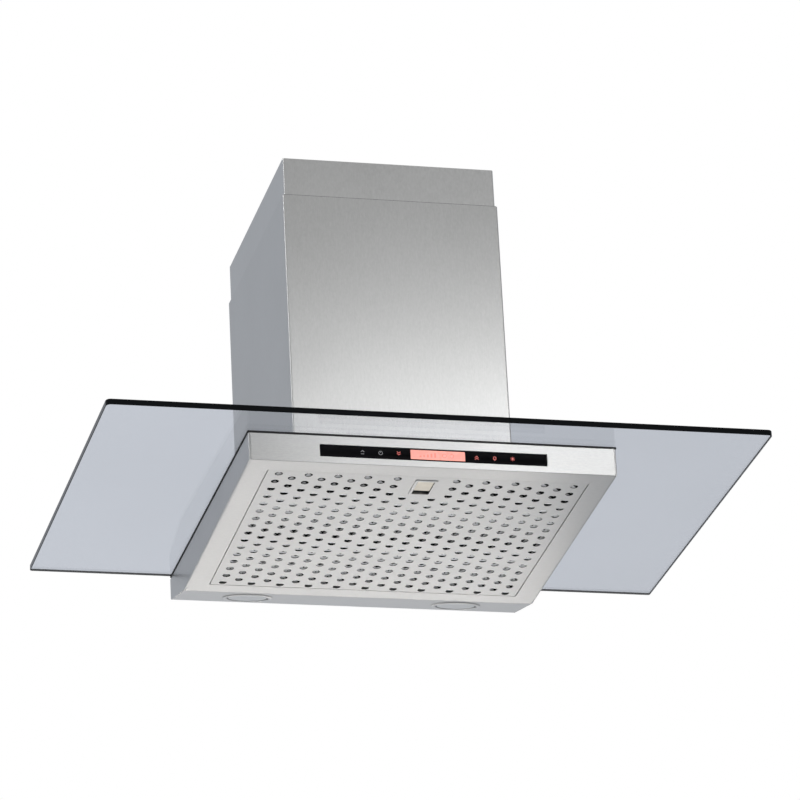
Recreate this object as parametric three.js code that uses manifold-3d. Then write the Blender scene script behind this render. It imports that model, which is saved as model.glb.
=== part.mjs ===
// Ceiling-hung range hood with a flat glass canopy, a wedge-shaped steel body and a telescopic chimney.
// Millimetres, +Z up, +X to the right, +Y to the back. The origin is on the top face of the ceiling plate,
// on the chimney's axis. The hood body hangs below it and slides down the uprights for height adjustment.
import * as THREE from 'three';
import { mergeVertices } from 'three/addons/utils/BufferGeometryUtils.js';
import Module from 'manifold-3d';

const wasm = await Module();
wasm.setup();

// ---- driving dimensions -------------------------------------------------------------------------
const GAP = 0.3;                 // clearance between touching pieces
const SHEET = 1.0;               // stainless sheet thickness

const CANOPY_DROP = 480;         // ceiling down to the underside of the glass, chimney pushed together
const GLASS = { w: 900, d: 600, t: 8, corner: 8 };
const CHIMNEY_Y = 410;           // chimney axis, measured back from the front edge of the glass
const GASKET_T = 2;              // rubber seal between the glass and the body

const BODY = { w: 500, front: 65, rear: 605, fold: 513 };      // y from the front edge of the glass
const DEPTH = { front: 41, fold: 54, rear: 33 };               // body bottom below the glass underside

const LOWER = { w: 305, d: 370, top: 423 };                    // chimney covers, above the glass underside
const UPPER = { w: 299.6, d: 364.6, bottom: 60 };
const BEND_R = 2.5;
const FLANGE = 15;               // folded side flanges of the rear covers

const DUCT = { y: 92, r: 75, collarH: 50 };                    // 150 mm outlet, behind the chimney axis
const BOX = { w: 244, d: 350, top: 300 };                      // blower box
const FAN = { y: 10, z: 150, r: 88, w: 150, blades: 20 };
const SCROLL = { r0: 96, r1: 150, start: 70, halfW: 86 };

const PANEL = { w: 436, front: 31, rear: 423 };                // filter panel, along the sloped underside
const PANEL_SEAM = 1;
const HOLES = { r: 5.2, rows: 31, cols: 11, pitchX: 40.3, pitchY: 12.42, first: 42, sides: 6 };
const HINGE = { y: 414, w: 5.5, pinR: 2 };
const MESH = { pitch: 13.5, low: 2.2, high: 7.8, t: 0.8 };
const LATCH = { w: 31, d: 48, y: 66.5, neck: 2 };

const STRIP = { w: 308, h: 16, drop: 23.5, t: 3 };             // control glass
const DISPLAY = { w: 74, h: 14, x: 5 };
const LAMP = { x: 150, along: 47, ringR: 35, lensR: 27 };

const yOf = (fromGlassFront) => fromGlassFront - CHIMNEY_Y;
const BODY_TOP = -GASKET_T;
const INNER_W = BODY.w - 2 * SHEET - 2 * GAP;

// ---- materials ----------------------------------------------------------------------------------
const mat = (color, metalness, roughness, extra = {}) =>
  new THREE.MeshStandardMaterial({ color, metalness, roughness, ...extra });
const STEEL = mat(0xc8c8c6, 1, 0.32);
const ZINC = mat(0xa9adb2, 0.9, 0.5);
const DARK_STEEL = mat(0x55585c, 0.8, 0.45);
const GLASS_MAT = mat(0xb9c3d2, 0, 0.05, { transparent: true, opacity: 0.45 });
const BLACK_GLASS = mat(0x0a0a0c, 0, 0.08);
const DISPLAY_MAT = mat(0xf07868, 0, 0.3, { emissive: 0xf07868 });
const RUBBER = mat(0x111214, 0, 0.8);
const LENS = mat(0xdfe6ea, 0, 0.2);
const MESH_MAT = mat(0x9c9c98, 1, 0.5);
const CREAM = mat(0xd9c9a6, 0, 0.45);
const BLACK_PLASTIC = mat(0x1b1c1f, 0, 0.5);
const BOARD_GREEN = mat(0x1f6b3a, 0, 0.6);
const COPPER = mat(0xb87333, 1, 0.4);

// ---- solids -------------------------------------------------------------------------------------
function toSolid(geometry) {
  let g = geometry.clone();
  g.deleteAttribute('normal');
  g.deleteAttribute('uv');
  g = mergeVertices(g, 1e-4);
  const index = g.index.array;
  return new wasm.Manifold(new wasm.Mesh({
    numProp: 3,
    vertProperties: new Float32Array(g.attributes.position.array),
    triVerts: new Uint32Array(index),
  }));
}

function toGeometry(solid) {
  const mesh = solid.getMesh();
  const g = new THREE.BufferGeometry();
  g.setAttribute('position', new THREE.BufferAttribute(new Float32Array(mesh.vertProperties), 3));
  g.setIndex(new THREE.BufferAttribute(new Uint32Array(mesh.triVerts), 1));
  g.computeVertexNormals();
  return g;
}

const join = (base, ...others) => toGeometry(others.reduce((s, o) => s.add(toSolid(o)), toSolid(base)));
const cut = (base, ...tools) => toGeometry(tools.reduce((s, o) => s.subtract(toSolid(o)), toSolid(base)));

function box(x0, x1, y0, y1, z0, z1) {
  const g = new THREE.BoxGeometry(x1 - x0, y1 - y0, z1 - z0);
  return g.translate((x0 + x1) / 2, (y0 + y1) / 2, (z0 + z1) / 2);
}

// A cylinder along 'x', 'y' or 'z', centred on c.
function cylinder(axis, r, length, c, sides = 24) {
  const g = new THREE.CylinderGeometry(r, r, length, sides);
  if (axis === 'x') g.rotateZ(Math.PI / 2);
  if (axis === 'z') g.rotateX(Math.PI / 2);
  return g.translate(...c);
}

function tube(axis, rOut, rIn, length, c, sides = 24) {
  const shape = new THREE.Shape();
  shape.absarc(0, 0, rOut, 0, Math.PI * 2);
  const hole = new THREE.Path();
  hole.absarc(0, 0, rIn, 0, Math.PI * 2);
  shape.holes.push(hole);
  const g = new THREE.ExtrudeGeometry(shape, { depth: length, bevelEnabled: false, curveSegments: sides });
  g.translate(0, 0, -length / 2);
  if (axis === 'x') g.rotateY(Math.PI / 2);
  if (axis === 'y') g.rotateX(Math.PI / 2);
  return g.translate(...c);
}

function polygon(points) {
  return new THREE.Shape(points.map(([a, b]) => new THREE.Vector2(a, b)));
}

function roundedRect(x0, x1, y0, y1, r, target = new THREE.Shape()) {
  target.moveTo(x0 + r, y0);
  target.lineTo(x1 - r, y0);
  target.absarc(x1 - r, y0 + r, r, -Math.PI / 2, 0);
  target.lineTo(x1, y1 - r);
  target.absarc(x1 - r, y1 - r, r, 0, Math.PI / 2);
  target.lineTo(x0 + r, y1);
  target.absarc(x0 + r, y1 - r, r, Math.PI / 2, Math.PI);
  target.lineTo(x0, y0 + r);
  target.absarc(x0 + r, y0 + r, r, Math.PI, Math.PI * 1.5);
  return target;
}

// An XY outline raised from z0 to z1.
function raise(shape, z0, z1, segments = 4) {
  const depth = z1 - z0;
  const g = new THREE.ExtrudeGeometry(shape, { depth, bevelEnabled: false, curveSegments: segments });
  return g.translate(0, 0, z0);
}

// A YZ outline spread from x0 to x1.
function spread(points, x0, x1, segments = 4) {
  const shape = Array.isArray(points) ? polygon(points) : points;
  const depth = x1 - x0;
  const g = new THREE.ExtrudeGeometry(shape, { depth, bevelEnabled: false, curveSegments: segments });
  g.rotateY(Math.PI / 2);
  g.rotateX(Math.PI / 2);
  return g.translate(x0, 0, 0);
}

function piece(name, geometry, material) {
  const mesh = new THREE.Mesh(geometry, material);
  mesh.name = name;
  return mesh;
}

const SIDES = [['left', -1], ['right', 1]];

// ---- chimney covers and uprights ----------------------------------------------------------------
// U-shaped front cover: a front face and two sides with small bend radii, open at the back.
function chimneyFront(w, d, z0, z1) {
  const h = w / 2, q = d / 2, r = BEND_R, t = SHEET;
  const s = new THREE.Shape();
  s.moveTo(-h, q);
  s.lineTo(-h, -q + r);
  s.absarc(-h + r, -q + r, r, Math.PI, Math.PI * 1.5);
  s.lineTo(h - r, -q);
  s.absarc(h - r, -q + r, r, -Math.PI / 2, 0);
  s.lineTo(h, q);
  s.lineTo(h - t, q);
  s.lineTo(h - t, -q + r);
  s.absarc(h - r, -q + r, r - t, 0, -Math.PI / 2, true);
  s.lineTo(-h + r, -q + t);
  s.absarc(-h + r, -q + r, r - t, -Math.PI / 2, -Math.PI, true);
  s.lineTo(-h + t, q);
  return raise(s, z0, z1, 3);
}

// C-shaped rear cover that closes the U between its sides.
function chimneyRear(w, d, z0, z1) {
  const h = w / 2 - SHEET - GAP, q = d / 2, f = 0.8;
  return raise(polygon([
    [-h, q], [-h, q - FLANGE], [-h + f, q - FLANGE], [-h + f, q - SHEET],
    [h - f, q - SHEET], [h - f, q - FLANGE], [h, q - FLANGE], [h, q],
  ].reverse()), z0, z1);
}

// An L-shaped upright whose outer corner is at (cx, cy) and whose legs point to the axis.
function upright(cx, cy, leg, t, z0, z1) {
  const sx = -Math.sign(cx), sy = -Math.sign(cy);
  const angle = [[0, 0], [leg, 0], [leg, t], [t, t], [t, leg], [0, leg]];
  const pts = angle.map(([a, b]) => [cx + sx * a, cy + sy * b]);
  if (sx * sy < 0) pts.reverse();
  return raise(polygon(pts), z0, z1);
}

const UPRIGHT_T = 1.5;
const UPPER_CORNER = { x: UPPER.w / 2 - SHEET - 1.6, y: UPPER.d / 2 - SHEET - 0.5, leg: 22 };
const LOWER_CORNER = { x: UPPER_CORNER.x - 1.9, y: UPPER_CORNER.y - 1.9, leg: 20 };
const PLATE_T = 3;
const SLOT_STEP = 60;

function adjustmentSlots(corner, zs) {
  const outX = corner.x > 0 ? 1 : -1;
  const xMid = corner.x - outX * 13;
  return zs.map((z) => box(xMid - 3, xMid + 3, corner.y - 4, corner.y + 4, z - 9, z + 9));
}

function makeUprights(upperGroup, hoodGroup) {
  for (const [side, sx] of SIDES) {
    for (const [end, sy] of [['front', -1], ['rear', 1]]) {
      const up = { x: sx * UPPER_CORNER.x, y: sy * UPPER_CORNER.y };
      const upTop = -PLATE_T - GAP, upBottom = -CANOPY_DROP + 75;
      const upBar = upright(up.x, up.y, UPPER_CORNER.leg, UPRIGHT_T, upBottom, upTop);
      const upSlots = adjustmentSlots(up, [0, 1, 2, 3].map((i) => upBottom + 30 + i * SLOT_STEP));
      upperGroup.add(piece(`ceiling_upright_${side}_${end}`, cut(upBar, ...upSlots), ZINC));

      const low = { x: sx * LOWER_CORNER.x, y: sy * LOWER_CORNER.y };
      const lowBar = upright(low.x, low.y, LOWER_CORNER.leg, UPRIGHT_T, BODY_TOP + GAP, 455);
      const lowSlots = adjustmentSlots(low, [0, 1].map((i) => 345 + i * SLOT_STEP));
      hoodGroup.add(piece(`hood_upright_${side}_${end}`, cut(lowBar, ...lowSlots), ZINC));
    }
  }
}

function makeBraces(group) {
  const y = LOWER_CORNER.y - UPRIGHT_T - GAP;
  const h = LOWER_CORNER.x - UPRIGHT_T - GAP;
  for (const [end, sy] of [['front', -1], ['rear', 1]]) {
    const [y0, y1] = [sy * y, sy * (y - UPRIGHT_T)].sort((a, b) => a - b);
    group.add(piece(`upright_brace_${end}`, box(-h, h, y0, y1, 430, 452), ZINC));
  }
}

// Ceiling plate: a tray with a duct hole behind its centre, four screw slots and a cable hole.
function ceilingPlate() {
  const h = UPPER_CORNER.x - UPRIGHT_T - GAP, q = UPPER_CORNER.y - UPRIGHT_T - GAP;
  const slab = box(-UPPER_CORNER.x, UPPER_CORNER.x, -UPPER_CORNER.y, UPPER_CORNER.y, -PLATE_T, 0);
  const between = box(-200, 200, -q + SHEET, q - SHEET, -30, -PLATE_T - 0.01);
  const rim = cut(box(-90, 90, -q, q, -18, -PLATE_T + 1), between);
  const ductHole = cylinder('z', DUCT.r + 3, 20, [0, DUCT.y, 0], 32);
  const cableHole = cylinder('z', 10, 20, [-60, -60, 0], 12);
  const screwSlots = [];
  for (const sx of [-1, 1]) {
    for (const sy of [-1, 1]) {
      const x = sx * (h - 25), y = sy * 120;
      screwSlots.push(box(x - 4, x + 4, y - 10, y + 10, -9, 9));
    }
  }
  return cut(join(slab, rim), ductHole, cableHole, ...screwSlots);
}

// ---- body ---------------------------------------------------------------------------------------
const slopeOf = (a, b) => Math.atan2(b.z - a.z, b.y - a.y);
const P_FRONT = { y: yOf(BODY.front), z: -DEPTH.front };
const P_FOLD = { y: yOf(BODY.fold), z: -DEPTH.fold };
const P_REAR = { y: yOf(BODY.rear), z: -DEPTH.rear };
const UNDER_LEN = Math.hypot(P_FOLD.y - P_FRONT.y, P_FOLD.z - P_FRONT.z);
const LAMP_LEN = Math.hypot(P_REAR.y - P_FOLD.y, P_REAR.z - P_FOLD.z);

function sidePanel(x0, x1) {
  return spread([
    [P_FRONT.y, BODY_TOP], [P_FRONT.y, P_FRONT.z], [P_FOLD.y, P_FOLD.z],
    [P_REAR.y, P_REAR.z], [P_REAR.y, BODY_TOP],
  ], x0, x1);
}

function frontFascia() {
  const plate = box(-INNER_W / 2, INNER_W / 2, P_FRONT.y, P_FRONT.y + SHEET, P_FRONT.z, BODY_TOP);
  const slot = 0.5;
  const hw = STRIP.w / 2 + slot, hh = STRIP.h / 2 + slot;
  return cut(plate, box(-hw, hw, P_FRONT.y - 5, P_FRONT.y + 5, -STRIP.drop - hh, -STRIP.drop + hh));
}

function topPlate() {
  const y0 = P_FRONT.y + SHEET + GAP, y1 = P_REAR.y - SHEET - GAP;
  const plate = box(-INNER_W / 2, INNER_W / 2, y0, y1, BODY_TOP - SHEET, BODY_TOP);
  const airW = BOX.w / 2 - 6, airD = BOX.d / 2 - 6;
  return cut(plate, box(-airW, airW, -airD, airD, BODY_TOP - 10, BODY_TOP + 10));
}

function bottomFrame() {
  const outline = roundedRect(-INNER_W / 2, INNER_W / 2, SHEET + GAP, UNDER_LEN - GAP, 0.5);
  const hw = PANEL.w / 2 + PANEL_SEAM;
  outline.holes.push(roundedRect(-hw, hw, PANEL.front - 0.6, PANEL.rear + PANEL_SEAM, 2, new THREE.Path()));
  return raise(outline, 0, SHEET, 2);
}

function lampPanel() {
  const plate = box(-INNER_W / 2, INNER_W / 2, GAP, LAMP_LEN - SHEET - GAP, 0, SHEET);
  const holes = SIDES.map(([, sx]) => cylinder('z', LAMP.ringR - 5, 10, [sx * LAMP.x, LAMP.along, 0], 28));
  return cut(plate, ...holes);
}

function gasket() {
  const x = BODY.w / 2 - 0.5, y0 = P_FRONT.y + 0.5, y1 = yOf(GLASS.d) - 0.5, wide = 14;
  const outline = roundedRect(-x, x, y0, y1, 1);
  outline.holes.push(roundedRect(-x + wide, x - wide, y0 + wide, y1 - 7, 1, new THREE.Path()));
  return raise(outline, BODY_TOP + GAP, -GAP, 1);
}

function glassCanopy() {
  const outline = roundedRect(-GLASS.w / 2, GLASS.w / 2, yOf(0), yOf(GLASS.d), GLASS.corner);
  const hx = LOWER.w / 2 - 5, hy = LOWER.d / 2 - 3.5;
  outline.holes.push(roundedRect(-hx, hx, -hy, hy, 2, new THREE.Path()));
  return raise(outline, 0, GLASS.t, 5);
}

function makeBody(hood) {
  hood.add(piece('glass_canopy', glassCanopy(), GLASS_MAT));
  hood.add(piece('glass_gasket', gasket(), RUBBER));
  hood.add(piece('front_fascia', frontFascia(), STEEL));
  hood.add(piece('side_panel_left', sidePanel(-BODY.w / 2, -BODY.w / 2 + SHEET), STEEL));
  hood.add(piece('side_panel_right', sidePanel(BODY.w / 2 - SHEET, BODY.w / 2), STEEL));
  const rear = box(-INNER_W / 2, INNER_W / 2, P_REAR.y - SHEET, P_REAR.y, P_REAR.z, BODY_TOP);
  hood.add(piece('rear_panel', rear, STEEL));
  hood.add(piece('top_plate', topPlate(), STEEL));
}

// ---- controls -----------------------------------------------------------------------------------
function makeControls(hood) {
  const face = P_FRONT.y + 0.5;
  const back = face + STRIP.t;
  const z = -STRIP.drop;
  const strip = box(-STRIP.w / 2, STRIP.w / 2, face, back, z - STRIP.h / 2, z + STRIP.h / 2);
  hood.add(piece('control_glass', strip, BLACK_GLASS));
  const dx = DISPLAY.w / 2, dz = DISPLAY.h / 2;
  const display = box(DISPLAY.x - dx, DISPLAY.x + dx, back + GAP, back + 6, z - dz, z + dz);
  hood.add(piece('display_module', display, DISPLAY_MAT));
  hood.add(piece('control_board', box(-140, 140, back + 6 + GAP, back + 7.9, z - 11, z + 11), BOARD_GREEN));
}

// ---- lamps, in the lamp panel's own frame -------------------------------------------------------
function makeLamps(panel) {
  for (const [side, sx] of SIDES) {
    const at = (z) => [sx * LAMP.x, LAMP.along, z];
    const flange = tube('z', LAMP.ringR, LAMP.lensR + GAP, 1.4, at(-GAP - 0.7), 12);
    const neck = tube('z', LAMP.lensR + 2.4, LAMP.lensR + GAP, 7, at(2.5), 12);
    panel.add(piece(`lamp_ring_${side}`, join(flange, neck), STEEL));
    panel.add(piece(`lamp_lens_${side}`, cylinder('z', LAMP.lensR, 2.2, at(0.2), 24), LENS));
    panel.add(piece(`lamp_housing_${side}`, lampHousing(at), BLACK_PLASTIC));
  }
}

// A cup open towards the lens, with the lamp holder's neck behind it.
function lampHousing(at) {
  const cup = cylinder('z', LAMP.lensR + 1, 14, at(6.3 + 7), 24);
  const neck = cylinder('z', 11, 6, at(6.3 + 16), 12);
  return cut(join(cup, neck), cylinder('z', LAMP.lensR - 2, 14, at(6.3 + 5), 24));
}

// ---- filter, in the underside's own frame: y back along the slope, z up into the body ------------
const latchFront = LATCH.y - LATCH.d / 2;
const latchRear = LATCH.y + LATCH.d / 2;

function holeIsFree(x, y) {
  const clear = HOLES.r - 1;
  return Math.abs(x) > LATCH.w / 2 + clear || y < latchFront - clear || y > latchRear + clear;
}

function perforatedPanel() {
  const h = PANEL.w / 2;
  const outline = roundedRect(-h, h, PANEL.front, PANEL.rear, 1.5);
  for (let row = 0; row < HOLES.rows; row += 1) {
    const odd = row % 2;
    for (let col = 0; col < HOLES.cols - odd; col += 1) {
      const x = (col + odd / 2 - (HOLES.cols - 1) / 2) * HOLES.pitchX;
      const y = HOLES.first + row * HOLES.pitchY;
      if (holeIsFree(x, y)) outline.holes.push(roundHole(x, y));
    }
  }
  const hw = LATCH.w / 2 - LATCH.neck, hd = LATCH.d / 2 - LATCH.neck;
  outline.holes.push(roundedRect(-hw, hw, LATCH.y - hd, LATCH.y + hd, 0.5, new THREE.Path()));
  return raise(outline, 0, SHEET, 1);
}

function roundHole(x, y) {
  const points = [];
  for (let i = 0; i < HOLES.sides; i += 1) {
    const a = (i * 2 * Math.PI) / HOLES.sides;
    points.push(new THREE.Vector2(x + HOLES.r * Math.cos(a), y + HOLES.r * Math.sin(a)));
  }
  return new THREE.Path(points);
}

const CASSETTE = { x: PANEL.w / 2 - 2, y0: PANEL.front + 2, y1: PANEL.rear - 2, z0: SHEET + GAP, z1: 11 };

// Cassette frame: four walls with a flange turned in at the top, open below and in the middle.
function filterFrame() {
  const { x, y0, y1, z0, z1 } = CASSETTE;
  const lip = 8;
  const outer = box(-x, x, y0, y1, z0, z1);
  const inner = box(-x + SHEET, x - SHEET, y0 + SHEET, y1 - SHEET, z0 - 1, z1 - SHEET);
  const window = box(-x + lip, x - lip, y0 + lip, y1 - lip, z0 - 1, z1 + 1);
  const boltNotch = box(-9.5, 9.5, y0 - 2, y0 + 2, 1.9, 5);
  const pinHole = cylinder('x', HINGE.pinR + 0.5, 2 * x + 10, [0, HINGE.y, HINGE.w], 12);
  return cut(outer, inner, window, boltNotch, pinHole);
}

// Corrugated layer of expanded metal: a zigzag sheet across the slope, cut away around the latch.
function filterMesh() {
  const y0 = CASSETTE.y0 + SHEET + 0.6, y1 = CASSETTE.y1 - SHEET - 0.6;
  const half = MESH.pitch / 2;
  const count = Math.floor((y1 - y0) / half);
  const line = [];
  for (let i = 0; i <= count; i += 1) line.push([y0 + i * half, i % 2 ? MESH.high - MESH.t : MESH.low]);
  const top = line.map(([y, z]) => [y, z + MESH.t]).reverse();
  const x = CASSETTE.x - SHEET - 2.2;
  return cut(spread([...line, ...top], -x, x), box(-22, 22, y0 - 5, latchRear + 6, -5, 20));
}

function latchBezel() {
  const { w, d, y, neck } = LATCH;
  const frame = (hw, hd, z0, z1) => box(-hw, hw, y - hd, y + hd, z0, z1);
  const inner = { w: w / 2 - 4, d: d / 2 - 4 };
  const flange = frame(w / 2, d / 2, -0.9, -GAP);
  const collar = frame(w / 2 - neck - GAP, d / 2 - neck - GAP, -GAP - 0.1, 2.2);
  return cut(join(flange, collar), frame(inner.w, inner.d, -5, 5));
}

function makeLatch(panel) {
  panel.add(piece('latch_bezel', latchBezel(), STEEL));
  const hw = LATCH.w / 2 - 4 - GAP, open = 9;
  const y0 = latchFront + 4 + GAP, y1 = latchRear - 4 - open;
  const pull = join(box(-hw, hw, y0, y1, 0.4, 2), box(-hw, hw, y1 - 2, y1, 0.4, 5.6));
  panel.add(piece('latch_pull', pull, CREAM));
  const tongue = box(-8, 8, PANEL.front - 0.3, y1 - 2 - GAP, 2 + GAP, 4.6);
  panel.add(piece('latch_bolt', tongue, ZINC));
  panel.add(piece('latch_spring', spring(y1 + GAP, latchRear - GAP, 4.8), DARK_STEEL));
}

// A small compression spring behind the pull, its axis along the slope.
function spring(y0, y1, z) {
  const turns = 4, r = 1.6, wire = 0.35;
  class Coil extends THREE.Curve {
    getPoint(t, target = new THREE.Vector3()) {
      const a = t * turns * 2 * Math.PI;
      return target.set(r * Math.cos(a), y0 + wire + t * (y1 - y0 - 2 * wire), z + r * Math.sin(a));
    }
  }
  const section = new THREE.Shape();
  section.absarc(0, 0, wire, 0, Math.PI * 2);
  return new THREE.ExtrudeGeometry(section, {
    steps: turns * 8, curveSegments: 2, bevelEnabled: false, extrudePath: new Coil(),
  });
}

function makeHinges(under) {
  const inner = PANEL.w / 2 + PANEL_SEAM + 0.4, t = 1.5, foot = 10;
  for (const [side, sx] of SIDES) {
    const span = (a, b) => [sx * a, sx * b].sort((p, q) => p - q);
    const wall = box(...span(inner, inner + t), HINGE.y - 6, HINGE.y + 6, SHEET + GAP, 12);
    const plate = box(...span(inner, inner + foot), HINGE.y - 6, HINGE.y + 6, SHEET + GAP, SHEET + GAP + t);
    const bore = cylinder('x', HINGE.pinR + 0.3, 10, [sx * inner, HINGE.y, HINGE.w], 12);
    under.add(piece(`hinge_bracket_${side}`, cut(join(wall, plate), bore), ZINC));
    const pinIn = CASSETTE.x - SHEET - 1.6, pinOut = inner + t + 1.5;
    const centre = [sx * (pinIn + pinOut) / 2, HINGE.y, HINGE.w];
    under.add(piece(`hinge_pin_${side}`, cylinder('x', HINGE.pinR, pinOut - pinIn, centre, 12), ZINC));
  }
}

function makeUnderside(hood) {
  const under = new THREE.Group();
  under.position.set(0, P_FRONT.y, P_FRONT.z);
  under.rotation.x = slopeOf(P_FRONT, P_FOLD);
  under.add(piece('bottom_frame', bottomFrame(), STEEL));
  makeHinges(under);
  under.add(piece('perforated_panel', perforatedPanel(), STEEL));
  under.add(piece('filter_frame', filterFrame(), STEEL));
  under.add(piece('filter_mesh', filterMesh(), MESH_MAT));
  makeLatch(under);
  hood.add(under);

  const lamps = new THREE.Group();
  lamps.position.set(0, P_FOLD.y, P_FOLD.z);
  lamps.rotation.x = slopeOf(P_FOLD, P_REAR);
  lamps.add(piece('lamp_panel', lampPanel(), STEEL));
  makeLamps(lamps);
  hood.add(lamps);
}

// ---- blower -------------------------------------------------------------------------------------
function blowerBox() {
  const x = BOX.w / 2, y = BOX.d / 2, z0 = BODY_TOP + GAP, z1 = BOX.top;
  return cut(
    box(-x, x, -y, y, z0, z1),
    box(-x + SHEET, x - SHEET, -y + SHEET, y - SHEET, z0 - 5, z1 - SHEET),
    cylinder('z', DUCT.r - 2, 20, [0, DUCT.y, z1], 28),
  );
}

// Points of the scroll, from the cut-off round the front and bottom to the back, then up to the outlet.
function scrollOutline(offset) {
  const steps = 20, top = BOX.top - SHEET - GAP;
  const turn = 360 - SCROLL.start;
  const points = [];
  for (let i = 0; i <= steps; i += 1) {
    const a = THREE.MathUtils.degToRad(SCROLL.start + (turn * i) / steps);
    const r = SCROLL.r0 + ((SCROLL.r1 - SCROLL.r0) * i) / steps + offset;
    points.push([FAN.y + r * Math.cos(a), FAN.z + r * Math.sin(a)]);
  }
  const cutoffY = points[0][0] - 2 * offset;
  return [[cutoffY, top], [cutoffY, points[0][1]], ...points.slice(1), [points.at(-1)[0], top]];
}

function makeScroll(hood) {
  const inner = scrollOutline(0), outer = scrollOutline(SHEET);
  const half = SCROLL.halfW - SHEET - GAP;
  const wrap = spread([...outer, ...inner.slice().reverse()], -half, half);
  hood.add(piece('scroll_wrap', wrap, ZINC));
  for (const [side, sx] of SIDES) {
    const [x0, x1] = [sx * (SCROLL.halfW - SHEET), sx * SCROLL.halfW].sort((a, b) => a - b);
    const plate = spread(outer, x0, x1);
    const inlet = cylinder('x', FAN.r - 16, 10, [sx * SCROLL.halfW, FAN.y, FAN.z], 28);
    hood.add(piece(`scroll_side_${side}`, cut(plate, inlet), ZINC));
  }
}

// Squirrel-cage wheel: middle disc, blades and two end rings.
function impeller() {
  const half = FAN.w / 2, depth = 16;
  const disc = cut(cylinder('x', FAN.r, 1.6, [0, 0, 0], 24), cylinder('x', 6, 10, [0, 0, 0], 12));
  const rings = [-1, 1].map((s) => tube('x', FAN.r + 0.6, FAN.r - 3, 1.6, [s * (half - 0.8), 0, 0], 12));
  const blades = [];
  for (let i = 0; i < FAN.blades; i += 1) {
    const blade = new THREE.BoxGeometry(FAN.w - 0.4, 1.2, depth);
    blade.rotateX(THREE.MathUtils.degToRad(20));
    blade.translate(0, 0, FAN.r - depth / 2 - 0.6);
    blade.rotateX((i * 2 * Math.PI) / FAN.blades);
    blades.push(blade);
  }
  return join(disc, ...rings, ...blades).translate(0, FAN.y, FAN.z);
}

function makeMotor(hood) {
  const c = (x) => [x, FAN.y, FAN.z];
  const body = cylinder('x', 44, 62, c(39), 24);
  const boss = cylinder('x', 11.5, 14, c(77), 16);
  const shaftR = 4, boreR = 4.5;
  hood.add(piece('fan_motor', cut(join(body, boss), cylinder('x', boreR, 40, c(20), 16)), DARK_STEEL));

  const arms = [0, 1, 2].map((i) => {
    const arm = new THREE.BoxGeometry(2, 14, 92 - 8);
    arm.translate(SCROLL.halfW + GAP + 1, 0, (92 + 8) / 2);
    return arm.rotateX((i * 2 * Math.PI) / 3).translate(0, FAN.y, FAN.z);
  });
  const ring = tube('x', 18, 12 + GAP, 2, c(SCROLL.halfW + GAP + 1), 8);
  hood.add(piece('motor_bracket', join(ring, ...arms), ZINC));
  return { shaft: cylinder('x', shaftR, 38, c(17), 16), collar: tube('x', 5.7, shaftR + GAP, 12, c(0), 8) };
}

function makeOutlet(hood) {
  const z0 = BOX.top + GAP, h = DUCT.collarH;
  const neck = tube('z', DUCT.r, DUCT.r - SHEET, h, [0, DUCT.y, z0 + h / 2], 14);
  const flange = tube('z', DUCT.r + 8, DUCT.r - SHEET, SHEET, [0, DUCT.y, z0 + SHEET / 2], 14);
  hood.add(piece('outlet_collar', join(neck, flange), ZINC));
  const pinZ = z0 + 22, r = DUCT.r - SHEET - 1.5;
  const pin = cylinder('x', 1.5, 2 * (r + 1), [0, DUCT.y, pinZ], 12);
  hood.add(piece('damper_pin', pin, ZINC));
  hood.add(piece('damper_flap_front', damperFlap(-1, r, [[-58, -24], [24, 58]], pinZ), BLACK_PLASTIC));
  hood.add(piece('damper_flap_rear', damperFlap(1, r, [[-22, 22]], pinZ), BLACK_PLASTIC));
}

// A half disc with knuckles that turn on the damper pin.
function damperFlap(sy, r, spans, z) {
  const t = 1.2, clear = 3.8, knuckleR = 3.2, boreR = 1.9;
  const disc = cylinder('z', r, t, [0, 0, 0], 28);
  const half = cut(disc, box(-r - 5, r + 5, sy > 0 ? -r - 5 : -clear, sy > 0 ? clear : r + 5, -5, 5));
  const parts = spans.flatMap(([x0, x1]) => [
    box(x0, x1, Math.min(sy * 2.6, sy * 5), Math.max(sy * 2.6, sy * 5), -t / 2, t / 2),
    tube('x', knuckleR, boreR, x1 - x0, [(x0 + x1) / 2, 0, 0], 6),
  ]);
  return join(half, ...parts).translate(0, DUCT.y, z);
}

function makeElectrics(hood) {
  const wall = BOX.w / 2 + GAP;
  hood.add(piece('run_capacitor', cylinder('z', 10.5, 55, [wall + 11, -60, 70], 20), BLACK_PLASTIC));
  hood.add(piece('junction_box', box(-wall - 20, -wall, -45, 45, 120, 190), BLACK_PLASTIC));
  const nut = cylinder('z', 8, 6, [-wall - 10, 0, 190 + GAP + 3], 6);
  const neck = cylinder('z', 6, 14, [-wall - 10, 0, 200], 16);
  hood.add(piece('cable_gland', join(nut, neck), BLACK_PLASTIC));
}

// ---- assembly -----------------------------------------------------------------------------------
const root = new THREE.Group();
root.add(piece('ceiling_plate', ceilingPlate(), ZINC));
const upperBottom = -CANOPY_DROP + UPPER.bottom;
root.add(piece('upper_chimney_front', chimneyFront(UPPER.w, UPPER.d, upperBottom, -GAP), STEEL));
root.add(piece('upper_chimney_rear', chimneyRear(UPPER.w, UPPER.d, upperBottom, -GAP), STEEL));

const hood = new THREE.Group();
hood.position.z = -CANOPY_DROP;
root.add(hood);
makeUprights(root, hood);
makeBraces(hood);
makeBody(hood);
makeControls(hood);
makeUnderside(hood);

const lowerBottom = GLASS.t + GAP;
hood.add(piece('lower_chimney_front', chimneyFront(LOWER.w, LOWER.d, lowerBottom, LOWER.top), STEEL));
hood.add(piece('lower_chimney_rear', chimneyRear(LOWER.w, LOWER.d, lowerBottom, LOWER.top), STEEL));

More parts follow.
